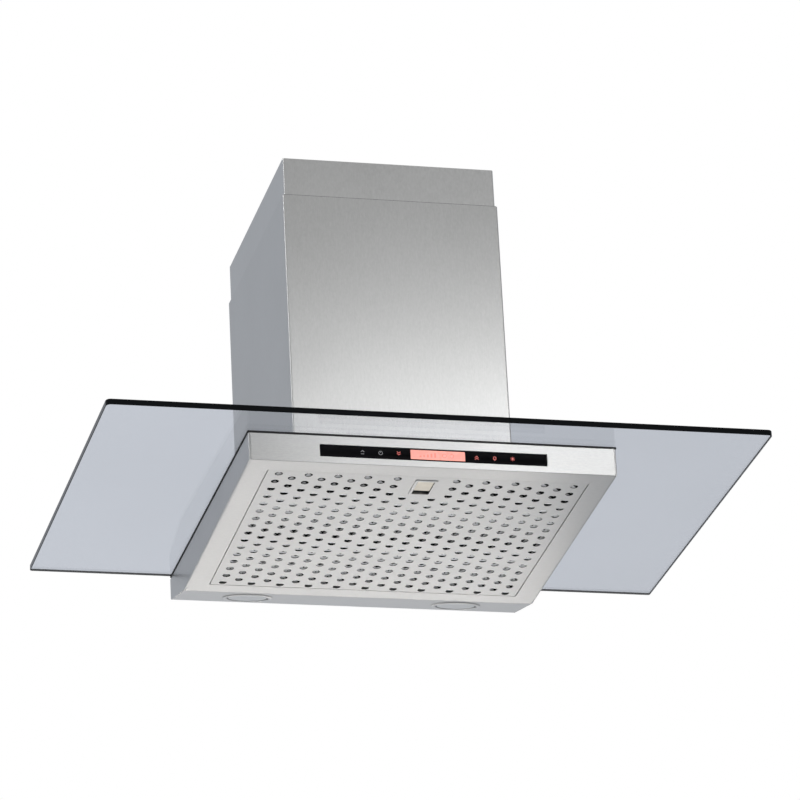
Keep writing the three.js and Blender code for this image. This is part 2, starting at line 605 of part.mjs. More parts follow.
hood.add(piece('blower_box', blowerBox(), ZINC));
makeScroll(hood);
hood.add(piece('impeller', impeller(), BLACK_PLASTIC));
const { shaft, collar } = makeMotor(hood);
hood.add(piece('motor_shaft', shaft, DARK_STEEL));
hood.add(piece('impeller_collar', collar, COPPER));
makeOutlet(hood);
makeElectrics(hood);

root.updateMatrixWorld(true);
export default root;
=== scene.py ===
# Ceiling-hung range hood with a glass canopy: finishes, drawn pieces, studio and camera.
import math
import bmesh
import bpy
from mathutils import Matrix, Vector


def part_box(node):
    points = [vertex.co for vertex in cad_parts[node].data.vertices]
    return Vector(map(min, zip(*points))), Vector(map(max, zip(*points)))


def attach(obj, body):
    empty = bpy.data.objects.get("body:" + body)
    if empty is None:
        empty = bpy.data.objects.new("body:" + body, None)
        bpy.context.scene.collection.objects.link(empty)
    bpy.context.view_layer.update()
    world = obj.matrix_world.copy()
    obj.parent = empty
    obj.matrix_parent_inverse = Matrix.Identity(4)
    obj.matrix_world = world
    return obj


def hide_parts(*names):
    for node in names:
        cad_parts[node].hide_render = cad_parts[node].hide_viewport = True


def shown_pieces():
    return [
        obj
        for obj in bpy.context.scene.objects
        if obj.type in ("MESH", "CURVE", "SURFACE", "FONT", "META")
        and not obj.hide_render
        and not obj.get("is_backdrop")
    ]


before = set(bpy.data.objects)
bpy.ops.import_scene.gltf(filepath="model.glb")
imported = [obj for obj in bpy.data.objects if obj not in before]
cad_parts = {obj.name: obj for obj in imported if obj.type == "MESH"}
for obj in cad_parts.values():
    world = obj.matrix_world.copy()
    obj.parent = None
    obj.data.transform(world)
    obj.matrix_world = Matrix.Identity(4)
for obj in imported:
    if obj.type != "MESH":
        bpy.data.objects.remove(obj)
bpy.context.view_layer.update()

MM = 0.001

# ---- camera and studio ---------------------------------------------------------------------------
CAMERA_TARGET = Vector((0.0030, -0.168, -0.3493))
CAMERA_DISTANCE = 6.889
CAMERA_AZIMUTH = math.radians(14.47)      # the camera stands to the left of the hood's middle
CAMERA_ELEVATION = math.radians(22.88)    # below the hood, looking up
CAMERA_ROLL = math.radians(-2.98)         # the hood's right side hangs lower in the picture
CAMERA_LENS = 227.6
FLOOR_Z = -10.0

# ---- sizes that the frame's boxes don't hold, in millimetres -------------------------------------
# first, y and along are distances back from the front edge of their slope.
HOLES = {"r": 5.2, "rows": 31, "cols": 11, "pitch_x": 40.3, "pitch_y": 12.42, "first": 42, "sides": 28}
LATCH = {"w": 31, "d": 48, "y": 66.5, "rim": 4}
LAMP = {"r": 35.0, "lens": 27.0, "x": 150.0, "along": 47.0}
SEAM = 1.0                                # gap round the filter panel
BEND = 1.8                                # outside radius of the body's folded edges
SIDE_LAP = 0.6                            # how far a skin reaches into the folds of the side panels
CHIMNEY_BEND = 2.5
CHIMNEY_SHEET = {"front": 1.0, "rear": 0.9}
GLASS_CORNER = {"front": 7.0, "back": 3.0}
SCREW_INSET = {"side": 9, "end": 30}      # from the edges of a cover or panel
REAR_SCREWS_X = (-180, -60, 60, 180)


# ---- the sloped planes of the underside, read from the side panel's outline ----------------------
def side_corners():
    """Front bottom corner, fold and rear bottom corner of the body's side, as (y, z) in metres."""
    outline = [v.co.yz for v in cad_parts["side_panel_left"].data.vertices]
    front = min(outline, key=lambda p: (round(p.x, 5), p.y))
    fold = min(outline, key=lambda p: p.y)
    rear = max(outline, key=lambda p: (round(p.x, 5), -p.y))
    return front, fold, rear


FRONT, FOLD, REAR = side_corners()


def slope_frame(a, b):
    """Axes with y from corner a to corner b along the underside and z up into the body."""
    return Matrix.Translation((0, a.x, a.y)) @ Matrix.Rotation(math.atan2(b.y - a.y, b.x - a.x), 4, "X")


UNDER = slope_frame(FRONT, FOLD)
CHAMFER = slope_frame(FOLD, REAR)
FACE_ON = Matrix(((0, 0, 1, 0), (1, 0, 0, 0), (0, 1, 0, 0), (0, 0, 0, 1)))   # x = depth, y = x, z = y


def local_box(node, axes):
    """Lowest and highest corner of a CAD node in the given axes, in millimetres."""
    inverse = axes.inverted()
    corners = [inverse @ v.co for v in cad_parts[node].data.vertices]
    low = [min(p[i] for p in corners) / MM for i in range(3)]
    high = [max(p[i] for p in corners) / MM for i in range(3)]
    return low, high


def box_mm(node):
    """Lowest and highest corner of a CAD node in the frame's own axes, in millimetres."""
    low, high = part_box(node)
    return [c / MM for c in low], [c / MM for c in high]


def half_between_sides(x0, x1):
    """Half the width of a skin that sits between the side panels' folds."""
    return (x1 - x0) / 2 - BEND + SIDE_LAP


# ---- node materials ------------------------------------------------------------------------------
NOISE_MIDDLE = (0.3, 0.7)                 # where most of a noise texture's values lie


def new_material(name, **sockets):
    made = bpy.data.materials.new(name)
    made.use_nodes = True
    shader = made.node_tree.nodes["Principled BSDF"]
    for socket, value in sockets.items():
        shader.inputs[socket.replace("_", " ")].default_value = value
    return made, made.node_tree, shader


def noise(tree, scale, stretch=(1, 1, 1), detail=3.0):
    """Noise in object coordinates: scale in features per metre, times stretch along each axis."""
    coordinates = tree.nodes.new("ShaderNodeTexCoord")
    mapping = tree.nodes.new("ShaderNodeMapping")
    mapping.inputs["Scale"].default_value = stretch
    texture = tree.nodes.new("ShaderNodeTexNoise")
    texture.inputs["Scale"].default_value = scale
    texture.inputs["Detail"].default_value = detail
    tree.links.new(coordinates.outputs["Object"], mapping.inputs["Vector"])
    tree.links.new(mapping.outputs["Vector"], texture.inputs["Vector"])
    return texture.outputs["Fac"]


def rescaled(tree, value, source, target=(0.0, 1.0)):
    """Maps the source range of a value onto the target range."""
    ranged = tree.nodes.new("ShaderNodeMapRange")
    for end, before, after in (("Min", source[0], target[0]), ("Max", source[1], target[1])):
        ranged.inputs[f"From {end}"].default_value = before
        ranged.inputs[f"To {end}"].default_value = after
    tree.links.new(value, ranged.inputs["Value"])
    return ranged.outputs["Result"]


def between(tree, value, low, high):
    """Maps the middle of a noise value onto low to high."""
    return rescaled(tree, value, NOISE_MIDDLE, (low, high))


def combined(tree, operation, first, second):
    node = tree.nodes.new("ShaderNodeMath")
    node.operation = operation
    tree.links.new(first, node.inputs[0])
    tree.links.new(second, node.inputs[1])
    return node.outputs["Value"]


def ramp(tree, value, dark, light):
    """A colour between dark and light over the middle of a noise value."""
    colours = tree.nodes.new("ShaderNodeValToRGB")
    for element, place, colour in zip(colours.color_ramp.elements, NOISE_MIDDLE, (dark, light)):
        element.position = place
        element.color = (*colour, 1)
    tree.links.new(value, colours.inputs["Fac"])
    return colours.outputs["Color"]


def bump(tree, shader, height, strength, distance):
    node = tree.nodes.new("ShaderNodeBump")
    node.inputs["Strength"].default_value = strength
    node.inputs["Distance"].default_value = distance
    tree.links.new(height, node.inputs["Height"])
    tree.links.new(node.outputs["Normal"], shader.inputs["Normal"])


def shade(colour, factor):
    return tuple(min(1.0, c * factor) for c in colour)


def brushed(name, colour, roughness, grain):
    """Satin-brushed steel: short marks along the grain axis over a fine mottle."""
    made, tree, shader = new_material(name, Metallic=1.0)
    along_marks, along_mottle = 0.08, 0.5
    marks = noise(tree, 1300, tuple(along_marks if axis == grain else 1.0 for axis in "xyz"), 4)
    mottle = noise(tree, 420, tuple(along_mottle if axis == grain else 1.0 for axis in "xyz"), 3)
    smudges = noise(tree, 7)
    mixed = tree.nodes.new("ShaderNodeMix")
    mixed.inputs["Factor"].default_value = 0.5
    tree.links.new(marks, mixed.inputs["A"])
    tree.links.new(mottle, mixed.inputs["B"])
    tone = ramp(tree, mixed.outputs["Result"], shade(colour, 0.93), shade(colour, 1.07))
    tree.links.new(tone, shader.inputs["Base Color"])
    grained = between(tree, mottle, roughness - 0.03, roughness + 0.03)
    smudged = between(tree, smudges, -0.015, 0.02)
    tree.links.new(combined(tree, "ADD", grained, smudged), shader.inputs["Roughness"])
    bump(tree, shader, marks, 0.12, 0.00004)
    return made


def galvanised(name, colour):
    """Zinc-coated sheet with faint crystals."""
    made, tree, shader = new_material(name, Metallic=0.85)
    cells = tree.nodes.new("ShaderNodeTexVoronoi")
    cells.inputs["Scale"].default_value = 110
    coordinates = tree.nodes.new("ShaderNodeTexCoord")
    tree.links.new(coordinates.outputs["Object"], cells.inputs["Vector"])
    tint = tree.nodes.new("ShaderNodeSeparateColor")
    tree.links.new(cells.outputs["Color"], tint.inputs["Color"])
    tone = ramp(tree, tint.outputs["Red"], shade(colour, 0.86), shade(colour, 1.1))
    tree.links.new(tone, shader.inputs["Base Color"])
    tree.links.new(between(tree, noise(tree, 60), 0.38, 0.55), shader.inputs["Roughness"])
    bump(tree, shader, tint.outputs["Green"], 0.08, 0.0001)
    return made


def moulded(name, colour, roughness=0.5, texture=1600, depth=0.00005):
    """Moulded plastic or rubber with a fine eroded texture."""
    made, tree, shader = new_material(name)
    grain = noise(tree, texture, detail=2)
    tone = ramp(tree, noise(tree, 40), shade(colour, 0.9), shade(colour, 1.1))
    tree.links.new(tone, shader.inputs["Base Color"])
    tree.links.new(between(tree, grain, roughness - 0.06, roughness + 0.06), shader.inputs["Roughness"])
    bump(tree, shader, grain, 0.25, depth)
    return made


def turned(name, colour, roughness=0.3):
    """Machined metal with fine turning marks."""
    made, tree, shader = new_material(name, Metallic=1.0)
    marks = noise(tree, 2600, (1, 0.05, 0.05))
    tone = ramp(tree, marks, shade(colour, 0.88), shade(colour, 1.08))
    tree.links.new(tone, shader.inputs["Base Color"])
    tree.links.new(between(tree, marks, roughness - 0.06, roughness + 0.08), shader.inputs["Roughness"])
    bump(tree, shader, marks, 0.12, 0.00005)
    return made


def clear_glass(name, colour):
    """Flat glass with slow waves in its faces."""
    made, tree, shader = new_material(name, Transmission_Weight=1.0, IOR=1.3)
    waves = noise(tree, 4, detail=1)
    tone = ramp(tree, waves, shade(colour, 0.985), shade(colour, 1.01))
    tree.links.new(tone, shader.inputs["Base Color"])
    tree.links.new(between(tree, noise(tree, 18), 0.0, 0.02), shader.inputs["Roughness"])
    bump(tree, shader, waves, 0.03, 0.0008)
    return made


def gloss(name, colour, roughness=0.06):
    """Polished dark glass or enamel with the faintest wipe marks."""
    made, tree, shader = new_material(name, Specular_IOR_Level=0.09)
    wipes = noise(tree, 30, (1, 1, 6))
    tone = ramp(tree, wipes, shade(colour, 0.8), shade(colour, 1.25))
    tree.links.new(tone, shader.inputs["Base Color"])
    tree.links.new(between(tree, wipes, roughness - 0.02, roughness + 0.05), shader.inputs["Roughness"])
    return made


def frosted(name, colour):
    """Etched lens: milky glass with a fine stipple."""
    made, tree, shader = new_material(name, Transmission_Weight=0.25, IOR=1.45)
    stipple = noise(tree, 900)
    tone = ramp(tree, stipple, shade(colour, 0.94), shade(colour, 1.04))
    tree.links.new(tone, shader.inputs["Base Color"])
    tree.links.new(between(tree, stipple, 0.32, 0.48), shader.inputs["Roughness"])
    bump(tree, shader, stipple, 0.3, 0.0001)
    return made


def lit(name, colour, strength, patches=0.12):
    """Back-lit print or display, a little uneven. Its glow is too weak to be sampled as a light."""
    made, tree, shader = new_material(name, Roughness=0.25)
    cloud = noise(tree, 45)
    tone = ramp(tree, cloud, shade(colour, 1 - patches), shade(colour, 1 + patches / 2))
    tree.links.new(tone, shader.inputs["Base Color"])
    tree.links.new(tone, shader.inputs["Emission Color"])
    tree.links.new(between(tree, cloud, 0.15, 0.3), shader.inputs["Roughness"])
    shader.inputs["Emission Strength"].default_value = strength
    made.cycles.emission_sampling = "NONE"
    return made


STEEL = (0.430, 0.432, 0.430)
FINISH = {
    "chimney": brushed("steel_chimney", STEEL, 0.33, "z"),
    # painted light: the upper cover's copy of the chimney steel is 5% lighter, set for how light falls on
    # the recessed upper section
    "upper_chimney": brushed("steel_upper_chimney_painted_light", shade(STEEL, 1.05), 0.33, "z"),
    # painted shade: a copy of the body steel made 10% darker for the sloped lamp panel
    "chamfer": brushed("steel_chamfer_painted_shade", shade(STEEL, 0.90), 0.33, "x"),
    "body": brushed("steel_body", STEEL, 0.33, "x"),
    "side": brushed("steel_side", STEEL, 0.33, "y"),
    "panel": brushed("steel_panel", STEEL, 0.36, "x"),
    "zinc": galvanised("zinc", (0.50, 0.52, 0.54)),
    # painted light and shade: a near-white copy of the mesh colour for cells near the panel and a
    # near-black copy for cells deeper in the pleats
    "mesh": moulded("aluminium_mesh_painted_light", (0.95, 0.95, 0.93), 0.5, 900),
    "mesh_painted_shade": moulded("aluminium_mesh_painted_shade", (0.008, 0.008, 0.008), 0.6, 900),
    # painted shade: near-black for the walls of the filter panel's holes
    "hole_wall_painted_shade": moulded("punched_edge_painted_shade", (0.012, 0.012, 0.012), 0.5, 900),
    # painted shade: a copy of the steel made 20% darker, to hold down the softbox light on the fascia
    "fascia": brushed("steel_fascia_painted_shade", shade(STEEL, 0.80), 0.33, "x"),
    "motor": moulded("motor_enamel", (0.05, 0.053, 0.06), 0.4),
    "shaft": turned("shaft_steel", (0.45, 0.45, 0.46)),
    "brass": turned("brass", (0.62, 0.42, 0.18)),
    "screw": turned("screw_steel", (0.36, 0.36, 0.37), 0.28),
    "glass": clear_glass("canopy_glass", (0.955, 0.965, 0.99)),
    "edge": gloss("glass_edge_enamel", (0.003, 0.004, 0.005), 0.1),
    "black_glass": gloss("control_glass", (0.004, 0.004, 0.005)),
    "display": lit("display_lit", (0.72, 0.26, 0.21), 0.62),
    "display_mark": lit("display_marks", (0.60, 0.19, 0.15), 0.62, 0.02),
    "icon_red": lit("icon_red", (0.48, 0.08, 0.065), 0.6),
    "icon_grey": lit("icon_grey", (0.16, 0.16, 0.17), 0.35),
    "felt": moulded("sliding_felt", (0.10, 0.10, 0.105), 0.9, 500, 0.0002),
    "rubber": moulded("seal_rubber", (0.012, 0.012, 0.013), 0.75, 700, 0.0001),
    "lens": frosted("lamp_lens", (0.60, 0.62, 0.63)),
    "cream": moulded("cream_plastic", (0.86, 0.78, 0.64), 0.42),
    "brown": moulded("latch_tray", (0.035, 0.02, 0.014), 0.5),
    "black": moulded("black_plastic", (0.02, 0.02, 0.022), 0.5),
    "board": moulded("circuit_board", (0.02, 0.13, 0.05), 0.45),
}


# ---- mesh building -------------------------------------------------------------------------------
WELD = 1e-4                               # points of a turned piece this close are joined
LATHE_SIDES = 72


def points(*pairs):
    return [Vector(p) for p in pairs]


def arc(cx, cy, r, start, end, steps):
    """Points round a centre, angles in degrees."""
    turns = [math.radians(start + (end - start) * i / steps) for i in range(steps + 1)]
    return [Vector((cx + r * math.cos(a), cy + r * math.sin(a))) for a in turns]


def circle(cx, cy, r, sides):
    return arc(cx, cy, r, 0, 360 - 360 / sides, sides - 1)


def rounded_rect(x0, x1, y0, y1, r, steps):
    return (arc(x1 - r, y0 + r, r, -90, 0, steps) + arc(x1 - r, y1 - r, r, 0, 90, steps)
            + arc(x0 + r, y1 - r, r, 90, 180, steps) + arc(x0 + r, y0 + r, r, 180, 270, steps))


def shrink(loop, distance):
    """Moves a closed loop to its own left, which is inwards for one that runs counter-clockwise."""
    moved = []
    for i, point in enumerate(loop):
        before = (point - loop[i - 1]).normalized()
        after = (loop[(i + 1) % len(loop)] - point).normalized()
        left = Vector((-before.y - after.y, before.x + after.x))
        moved.append(point + left * distance / max(0.2, 1 + before.dot(after)))
    return moved


def weight_normals(piece):
    piece.modifiers.new("weighted_normals", "WEIGHTED_NORMAL").keep_sharp = True


def as_object(name, bm, axes, body, finish, nodes=(), smooth=35):
    """Turns a bmesh in millimetres into a piece that rides on a body, with one finish or several.

    Edges sharper than smooth degrees stay hard. nodes are the CAD nodes that the piece replaces.
    """
    bmesh.ops.recalc_face_normals(bm, faces=bm.faces)
    mesh = bpy.data.meshes.new(name)
    bm.to_mesh(mesh)
    bm.free()
    mesh.transform(axes @ Matrix.Scale(MM, 4))
    mesh.shade_smooth()
    mesh.set_sharp_from_angle(angle=math.radians(smooth))
    piece = bpy.data.objects.new(name, mesh)
    bpy.context.scene.collection.objects.link(piece)
    for key in [finish] if isinstance(finish, str) else finish:
        mesh.materials.append(FINISH[key])
    weight_normals(piece)
    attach(piece, body)
    if nodes:
        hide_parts(*nodes)
    return piece


def plate_mesh(outline, z0, z1, holes=(), low=0.0, high=0.0, steps=3, wall=0):
    """A flat plate from z0 to z1 with holes.

    low and high round its lower and upper edges, in steps; wall is the material of the hole walls.
    """
    bm = bmesh.new()
    quarter = [math.radians(90 * i / steps) for i in range(steps + 1)]
    rings = [(0, z0)]
    if low:
        rings = [(low * (1 - math.sin(a)), z0 + low * (1 - math.cos(a))) for a in quarter]
    if high:
        rings += [(high * (1 - math.cos(a)), z1 - high * (1 - math.sin(a))) for a in quarter]
    else:
        rings.append((0, z1))
    bottom, top = [], []
    first = list(outline)
    for loop in [first] + [list(reversed(h)) for h in holes]:
        rows = []
        for inset, z in rings:
            rows.append([bm.verts.new((p.x, p.y, z)) for p in shrink(loop, inset)])
        for level, (lower, upper) in enumerate(zip(rows, rows[1:])):
            for i in range(len(loop)):
                face = bm.faces.new((lower[i - 1], lower[i], upper[i], upper[i - 1]))
                if loop is not first and level >= steps - 1:
                    face.material_index = wall
        for row, edges in ((rows[0], bottom), (rows[-1], top)):
            edges += [bm.edges.get((row[i - 1], row[i])) for i in range(len(row))]
    for edges in (bottom, top):
        bmesh.ops.triangle_fill(bm, use_beauty=True, use_dissolve=False, edges=edges)
    return bm


def plate(name, outline, z0, z1, axes, body, slot, finish, nodes=(), **rounding):
    as_object(name, plate_mesh(outline, z0, z1, **rounding), axes, body, finish, nodes)


def lathe(name, profile, centre, axes, body, finish, nodes):
    """A closed (r, z) profile turned about z at the centre."""
    bm = bmesh.new()
    x, y = centre
    rings = []
    for i in range(LATHE_SIDES):
        a = 2 * math.pi * i / LATHE_SIDES
        rings.append([bm.verts.new((x + r * math.cos(a), y + r * math.sin(a), z)) for r, z in profile])
    for here, there in zip(rings, rings[1:] + rings[:1]):
        for i in range(len(profile)):
            bm.faces.new((here[i - 1], here[i], there[i], there[i - 1]))
    bmesh.ops.remove_doubles(bm, verts=bm.verts, dist=WELD)
    as_object(name, bm, axes, body, finish, nodes, smooth=30)


def screw(name, place, body, r=3.4, height=1.9):
    """A pan-head screw with a cross recess, on a black ring that is painted shadow round its head; the rim
    of the recess is black, painted shade. place has its z axis out of the surface.
    """
    arm, half = r * 0.55, r * 0.12
    shadow_ring_top, shadow_ring_rim, sides = height * 0.45, 0.4, 32
    cross = []
    for quarter in range(4):
        turn = Matrix.Rotation(math.radians(90 * quarter), 2)
        cross += [turn @ p for p in points((arm, half), (half, half), (half, arm))]
    # the rim of the cross recess is black: painted shade
    bm = plate_mesh(circle(0, 0, r, sides), shadow_ring_top, height, holes=[cross], high=height * 0.2,
                    steps=4, wall=1)
    # a black ring under the head: painted shadow round it
    shadow_ring = plate_mesh(circle(0, 0, r + shadow_ring_rim, sides), 0, shadow_ring_top)
    for face in shadow_ring.faces:
        face.material_index = 1
    below = bpy.data.meshes.new(name + "_shadow_ring")
    shadow_ring.to_mesh(below)
    shadow_ring.free()
    bm.from_mesh(below)
    bpy.data.meshes.remove(below)
    as_object(name, bm, place, body, ("screw", "black"))


# ---- the glass canopy ----------------------------------------------------------------------------
def make_canopy():
    """One glass sheet with a dark rim and an opening under the chimney."""
    (x0, y0, z0), (x1, y1, z1) = box_mm("glass_canopy")
    (cx0, cy0, _), (cx1, cy1, _) = box_mm("lower_chimney_front")
    under_x, under_y = 5, 3.5             # how far the chimney covers the edge of the opening
    opening = rounded_rect(cx0 + under_x, cx1 - under_x, cy0 + under_y, cy1 - under_y, 2, 3)
    front, back = GLASS_CORNER["front"], GLASS_CORNER["back"]
    outline = arc(x0 + front, y0 + front, front, 180, 270, 12)
    outline += arc(x1 - front, y0 + front, front, 270, 360, 12)
    outline += arc(x1 - back, y1 - back, back, 0, 90, 8)
    outline += arc(x0 + back, y1 - back, back, 90, 180, 8)
    bm = plate_mesh(outline, z0, z1, holes=[opening], low=0.8, high=0.8)
    flat = 0.01
    for face in bm.faces:
        heights = [v.co.z for v in face.verts]
        face.material_index = int(max(heights) - min(heights) > flat)
    as_object("canopy_sheet", bm, Matrix(), "hood", ("glass", "edge"), ["glass_canopy"])


def make_gasket():
    """The rubber frame that the glass lies on; its lip shows round the body."""
    (x0, y0, z0), (x1, y1, z1) = box_mm("glass_gasket")
    lip, sag, squeeze = 1.5, 1.0, 0.2
    width, rear_width = 14, 7
    outline = rounded_rect(x0 - lip, x1 + lip, y0 - lip, y1, 1.2, 4)
    inner = rounded_rect(x0 + width, x1 - width, y0 + width, y1 - rear_width, 1.2, 4)
    plate("gasket_strip", outline, z0 - sag, z1 + squeeze, Matrix(), "hood", "seal_rubber", "rubber",
          ["glass_gasket"], holes=[inner], low=0.3, high=0.3)


# ---- the wedge-shaped body -----------------------------------------------------------------------
def make_side(side, sign):
    """A side panel with its folded outer edges; sign is the side of the middle that it is on."""
    node = f"side_panel_{side}"
    (x0, y0, _), (x1, y1, z1) = box_mm(node)
    outline = points((y0, z1), (y0, FRONT.y / MM), (FOLD.x / MM, FOLD.y / MM),
                     (y1, REAR.y / MM), (y1, z1))
    thick = BEND + 0.4
    across = (x0, x0 + thick) if sign < 0 else (x1 - thick, x1)
    rounding = {"low": BEND} if sign < 0 else {"high": BEND}
    plate(f"side_skin_{side}", outline, *across, FACE_ON, "hood", "brushed_steel", "side", [node],
          steps=5, **rounding)


def face_forward(y):
    """Axes of a vertical face that looks to the front: x right, y up, z out of the face."""
    return Matrix.Translation((0, y * MM, 0)) @ Matrix.Rotation(math.radians(90), 4, "X")


def make_fascia():
    (x0, y0, z0), (x1, y1, z1) = box_mm("front_fascia")
    (sx0, _, sz0), (sx1, _, sz1) = box_mm("control_glass")
    half = half_between_sides(x0, x1)
    outline = points((-half, z0), (half, z0), (half, z1), (-half, z1))
    gap = 0.5
    slot = rounded_rect(sx0 - gap, sx1 + gap, sz0 - gap, sz1 + gap, 0.4, 3)
    # the fascia takes the 20% darker copy of the steel: painted shade
    plate("fascia_skin", outline, y0 - y1, 0, face_forward(y0), "hood", "brushed_steel", "fascia",
          ["front_fascia"], holes=[slot], high=0.3)


def make_rear_panel():
    (x0, y0, z0), (x1, y1, z1) = box_mm("rear_panel")
    half = half_between_sides(x0, x1)
    outline = points((-half, z0), (half, z0), (half, z1), (-half, z1))
    plate("rear_skin", outline, -y1, -y0, face_forward(0), "hood", "brushed_steel", "body",
          ["rear_panel"], low=0.8, steps=4)


def make_underside():
    """The frame round the filter, and the sloped lamp panel behind it."""
    corner, front_seam = 0.6, 0.3
    low, high = local_box("bottom_frame", UNDER)
    half = half_between_sides(low[0], high[0])
    (px0, py0, _), (px1, py1, _) = local_box("perforated_panel", UNDER)
    outline = rounded_rect(-half, half, low[1], high[1], corner, 2)
    opening = rounded_rect(px0 - SEAM, px1 + SEAM, py0 - front_seam, py1 + SEAM, 2, 5)
    plate("underside_frame", outline, low[2], high[2], UNDER, "hood", "brushed_steel", "body",
          ["bottom_frame"], holes=[opening])

    low, high = local_box("lamp_panel", CHAMFER)
    outline = rounded_rect(-half, half, low[1], high[1], corner, 2)
    under_ring = 5
    holes = [circle(sx * LAMP["x"], LAMP["along"], LAMP["r"] - under_ring, 56) for sx in (-1, 1)]
    # the lamp panel takes the 10% darker copy of the body steel: painted shade
    plate("lamp_skin", outline, low[2], high[2], CHAMFER, "hood", "brushed_steel", "chamfer",
          ["lamp_panel"], holes=holes, low=0.4)


def hole_centres():
    """Staggered rows of holes, except where the latch is."""
    clear = HOLES["r"] - 1
    for row in range(HOLES["rows"]):
        odd = row % 2
        for col in range(HOLES["cols"] - odd):
            x = (col + odd / 2 - (HOLES["cols"] - 1) / 2) * HOLES["pitch_x"]
            y = HOLES["first"] + row * HOLES["pitch_y"]
            beside = abs(x) <= LATCH["w"] / 2 + HOLES["r"]
            level = abs(y - LATCH["y"]) <= LATCH["d"] / 2 + clear
            if not (beside and level):
                yield x, y


def make_filter_panel():
    low, high = local_box("perforated_panel", UNDER)
    outline = rounded_rect(low[0], high[0], low[1], high[1], 1.5, 5)
    holes = [circle(x, y, HOLES["r"], HOLES["sides"]) for x, y in hole_centres()]
    under_bezel = 2
    half_w, half_d = LATCH["w"] / 2 - under_bezel, LATCH["d"] / 2 - under_bezel
    holes.append(rounded_rect(-half_w, half_w, LATCH["y"] - half_d, LATCH["y"] + half_d, 0.5, 2))
    # the hole walls are near-black: painted shade inside the holes
    plate("filter_face", outline, low[2], high[2], UNDER, "filter", "brushed_steel",
          ("panel", "hole_wall_painted_shade"), ["perforated_panel"], holes=holes, low=0.3, high=0.15, steps=2, wall=1)


def make_filter_mesh():
    """Expanded aluminium: diamond cells on a pleated layer, its lands against the perforated panel. Cells
    near the panel are near-white, painted light, and deeper cells near-black, painted shade.
    """
    low, high = local_box("filter_mesh", UNDER)
    pleat, valley, ridge, thick = 13.5, 1.35, 7.4, 0.4
    land, flank, painted_shade_from = 0.38, 0.26, 0.6
    long, short, open_part, weld = 5.0, 1.7, 0.30, 0.02
    latch_half, latch_end = 28, LATCH["y"] + LATCH["d"] / 2 + 10

    def height(y):
        from_land = abs(((y - low[1]) / pleat + 0.5) % 1 * 2 - 1)
        return valley + (ridge - valley) * min(1, max(0, from_land - land) / flank)

    bm = bmesh.new()
    rows = int((high[1] - low[1]) / short) - 1
    cols = int((high[0] - low[0]) / (2 * long)) - 1
    for row in range(rows):
        y = low[1] + short * (row + 1)
        for col in range(cols + row % 2):
            x = (col - (cols - 1 + row % 2) / 2) * 2 * long
            if abs(x) < latch_half and y < latch_end:
                continue
            ends = [(x + long, y), (x, y + short), (x - long, y), (x, y - short)]
            outer = [bm.verts.new((u, v, height(v))) for u, v in ends]
            inside = [(x + (u - x) * open_part, y + (v - y) * open_part) for u, v in ends]
            inner = [bm.verts.new((u, v, height(v))) for u, v in inside]
            # cells higher than this above the valley get the near-black copy: painted shade
            in_painted_shade = int(height(y) > valley + painted_shade_from)
            for i in range(4):
                bm.faces.new((outer[i - 1], outer[i], inner[i], inner[i - 1])).material_index = in_painted_shade
    bmesh.ops.remove_doubles(bm, verts=bm.verts, dist=weld)
    piece = as_object("expanded_mesh", bm, UNDER, "filter", ("mesh", "mesh_painted_shade"),
                      ["filter_mesh"])
    solid = piece.modifiers.new("thickness", "SOLIDIFY")
    solid.thickness = thick * MM
    solid.offset = 0


def make_latch():
    """Bezel, the pull that slides in it, and a dark tray on both sides of the pull's bolt."""
    rim, y = LATCH["rim"], LATCH["y"]
    half_w, half_d = LATCH["w"] / 2, LATCH["d"] / 2
    low, high = local_box("latch_bezel", UNDER)
    outline = rounded_rect(-half_w, half_w, y - half_d, y + half_d, 2.2, 6)
    window = rounded_rect(rim - half_w, half_w - rim, y - half_d + rim, y + half_d - rim, 1.2, 5)
    plate("latch_frame", outline, low[2], high[2], UNDER, "filter", "brushed_steel", "panel",
          ["latch_bezel"], holes=[window], low=0.35, high=0.3, steps=4)

    (px0, py0, pz0), (px1, py1, pz1) = local_box("latch_pull", UNDER)
    outline = rounded_rect(px0, px1, py0, py1, 1.0, 4)
    plate("latch_plate", outline, pz0, pz0 + 1.6, UNDER, "latch", "cream_plastic", "cream",
          low=0.5, high=0.2)
    outline = rounded_rect(px0 + 0.4, px1 - 0.4, py1 - 2, py1 - 0.1, 0.7, 4)
    plate("latch_grip", outline, pz0 + 1.5, pz1, UNDER, "latch", "cream_plastic", "cream",
          ["latch_pull"], high=0.5)
    edge, bolt_gap = half_w - 3.2, 2.6
    for side, x0, x1 in (("left", -edge, -bolt_gap), ("right", bolt_gap, edge)):
        outline = rounded_rect(x0, x1, py1 + 0.4, y + half_d - 3, 0.8, 3)
        plate(f"latch_tray_{side}", outline, pz1 + 0.3, pz1 + 1, UNDER, "filter", "black_plastic",
              "brown", low=0.2)


